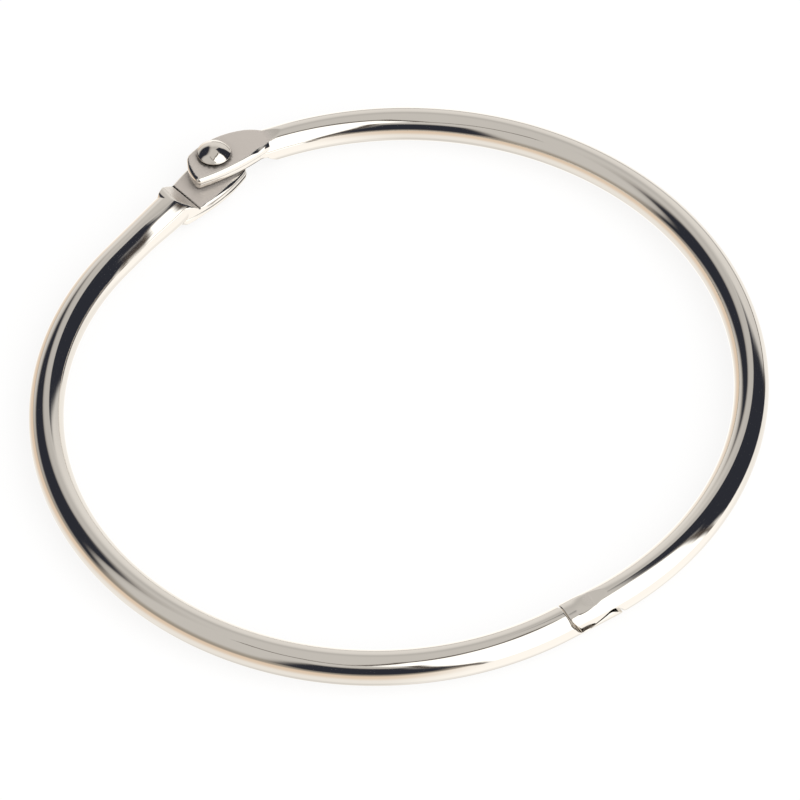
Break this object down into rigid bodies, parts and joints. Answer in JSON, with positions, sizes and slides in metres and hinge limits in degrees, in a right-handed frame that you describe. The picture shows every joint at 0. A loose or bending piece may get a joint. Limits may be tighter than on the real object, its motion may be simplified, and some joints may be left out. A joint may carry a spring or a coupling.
{
  "type": "binder ring",
  "caption": "Hinged metal ring that opens at a riveted hinge and shuts with interlocking hooked ends, for holding punched sheets.",
  "frame": {"origin": "midway between the rivet and the clasp, in the middle plane of the wire", "axes": "+Z along the rivet towards its domed head, +Y from the clasp to the rivet, +X towards the half with the upper leaf"},
  "size_m": [0.0842, 0.0822, 0.0057],
  "materials": {
    "plated_wire": "bright nickel plate over steel wire, satin on the pressed leaves",
    "plated_rivet": "bright nickel plate over steel"
  },
  "bodies": {
    "left_half": {"left_half": "plated_wire"},
    "rivet": {"rivet": "plated_rivet"},
    "right_half": {"right_half": "plated_wire"}
  },
  "joints": [
    {"name": "lift", "type": "hinge", "parent": "left_half", "child": "rivet", "pos_m": [0, 0.0388, 0], "axis": [-1, 0, 0], "range_deg": [0, 0.8]},
    {"name": "swing", "type": "hinge", "parent": "rivet", "child": "right_half", "pos_m": [0, 0.0388, 0], "axis": [0, 0, 1], "range_deg": [0, 165]}
  ]
}
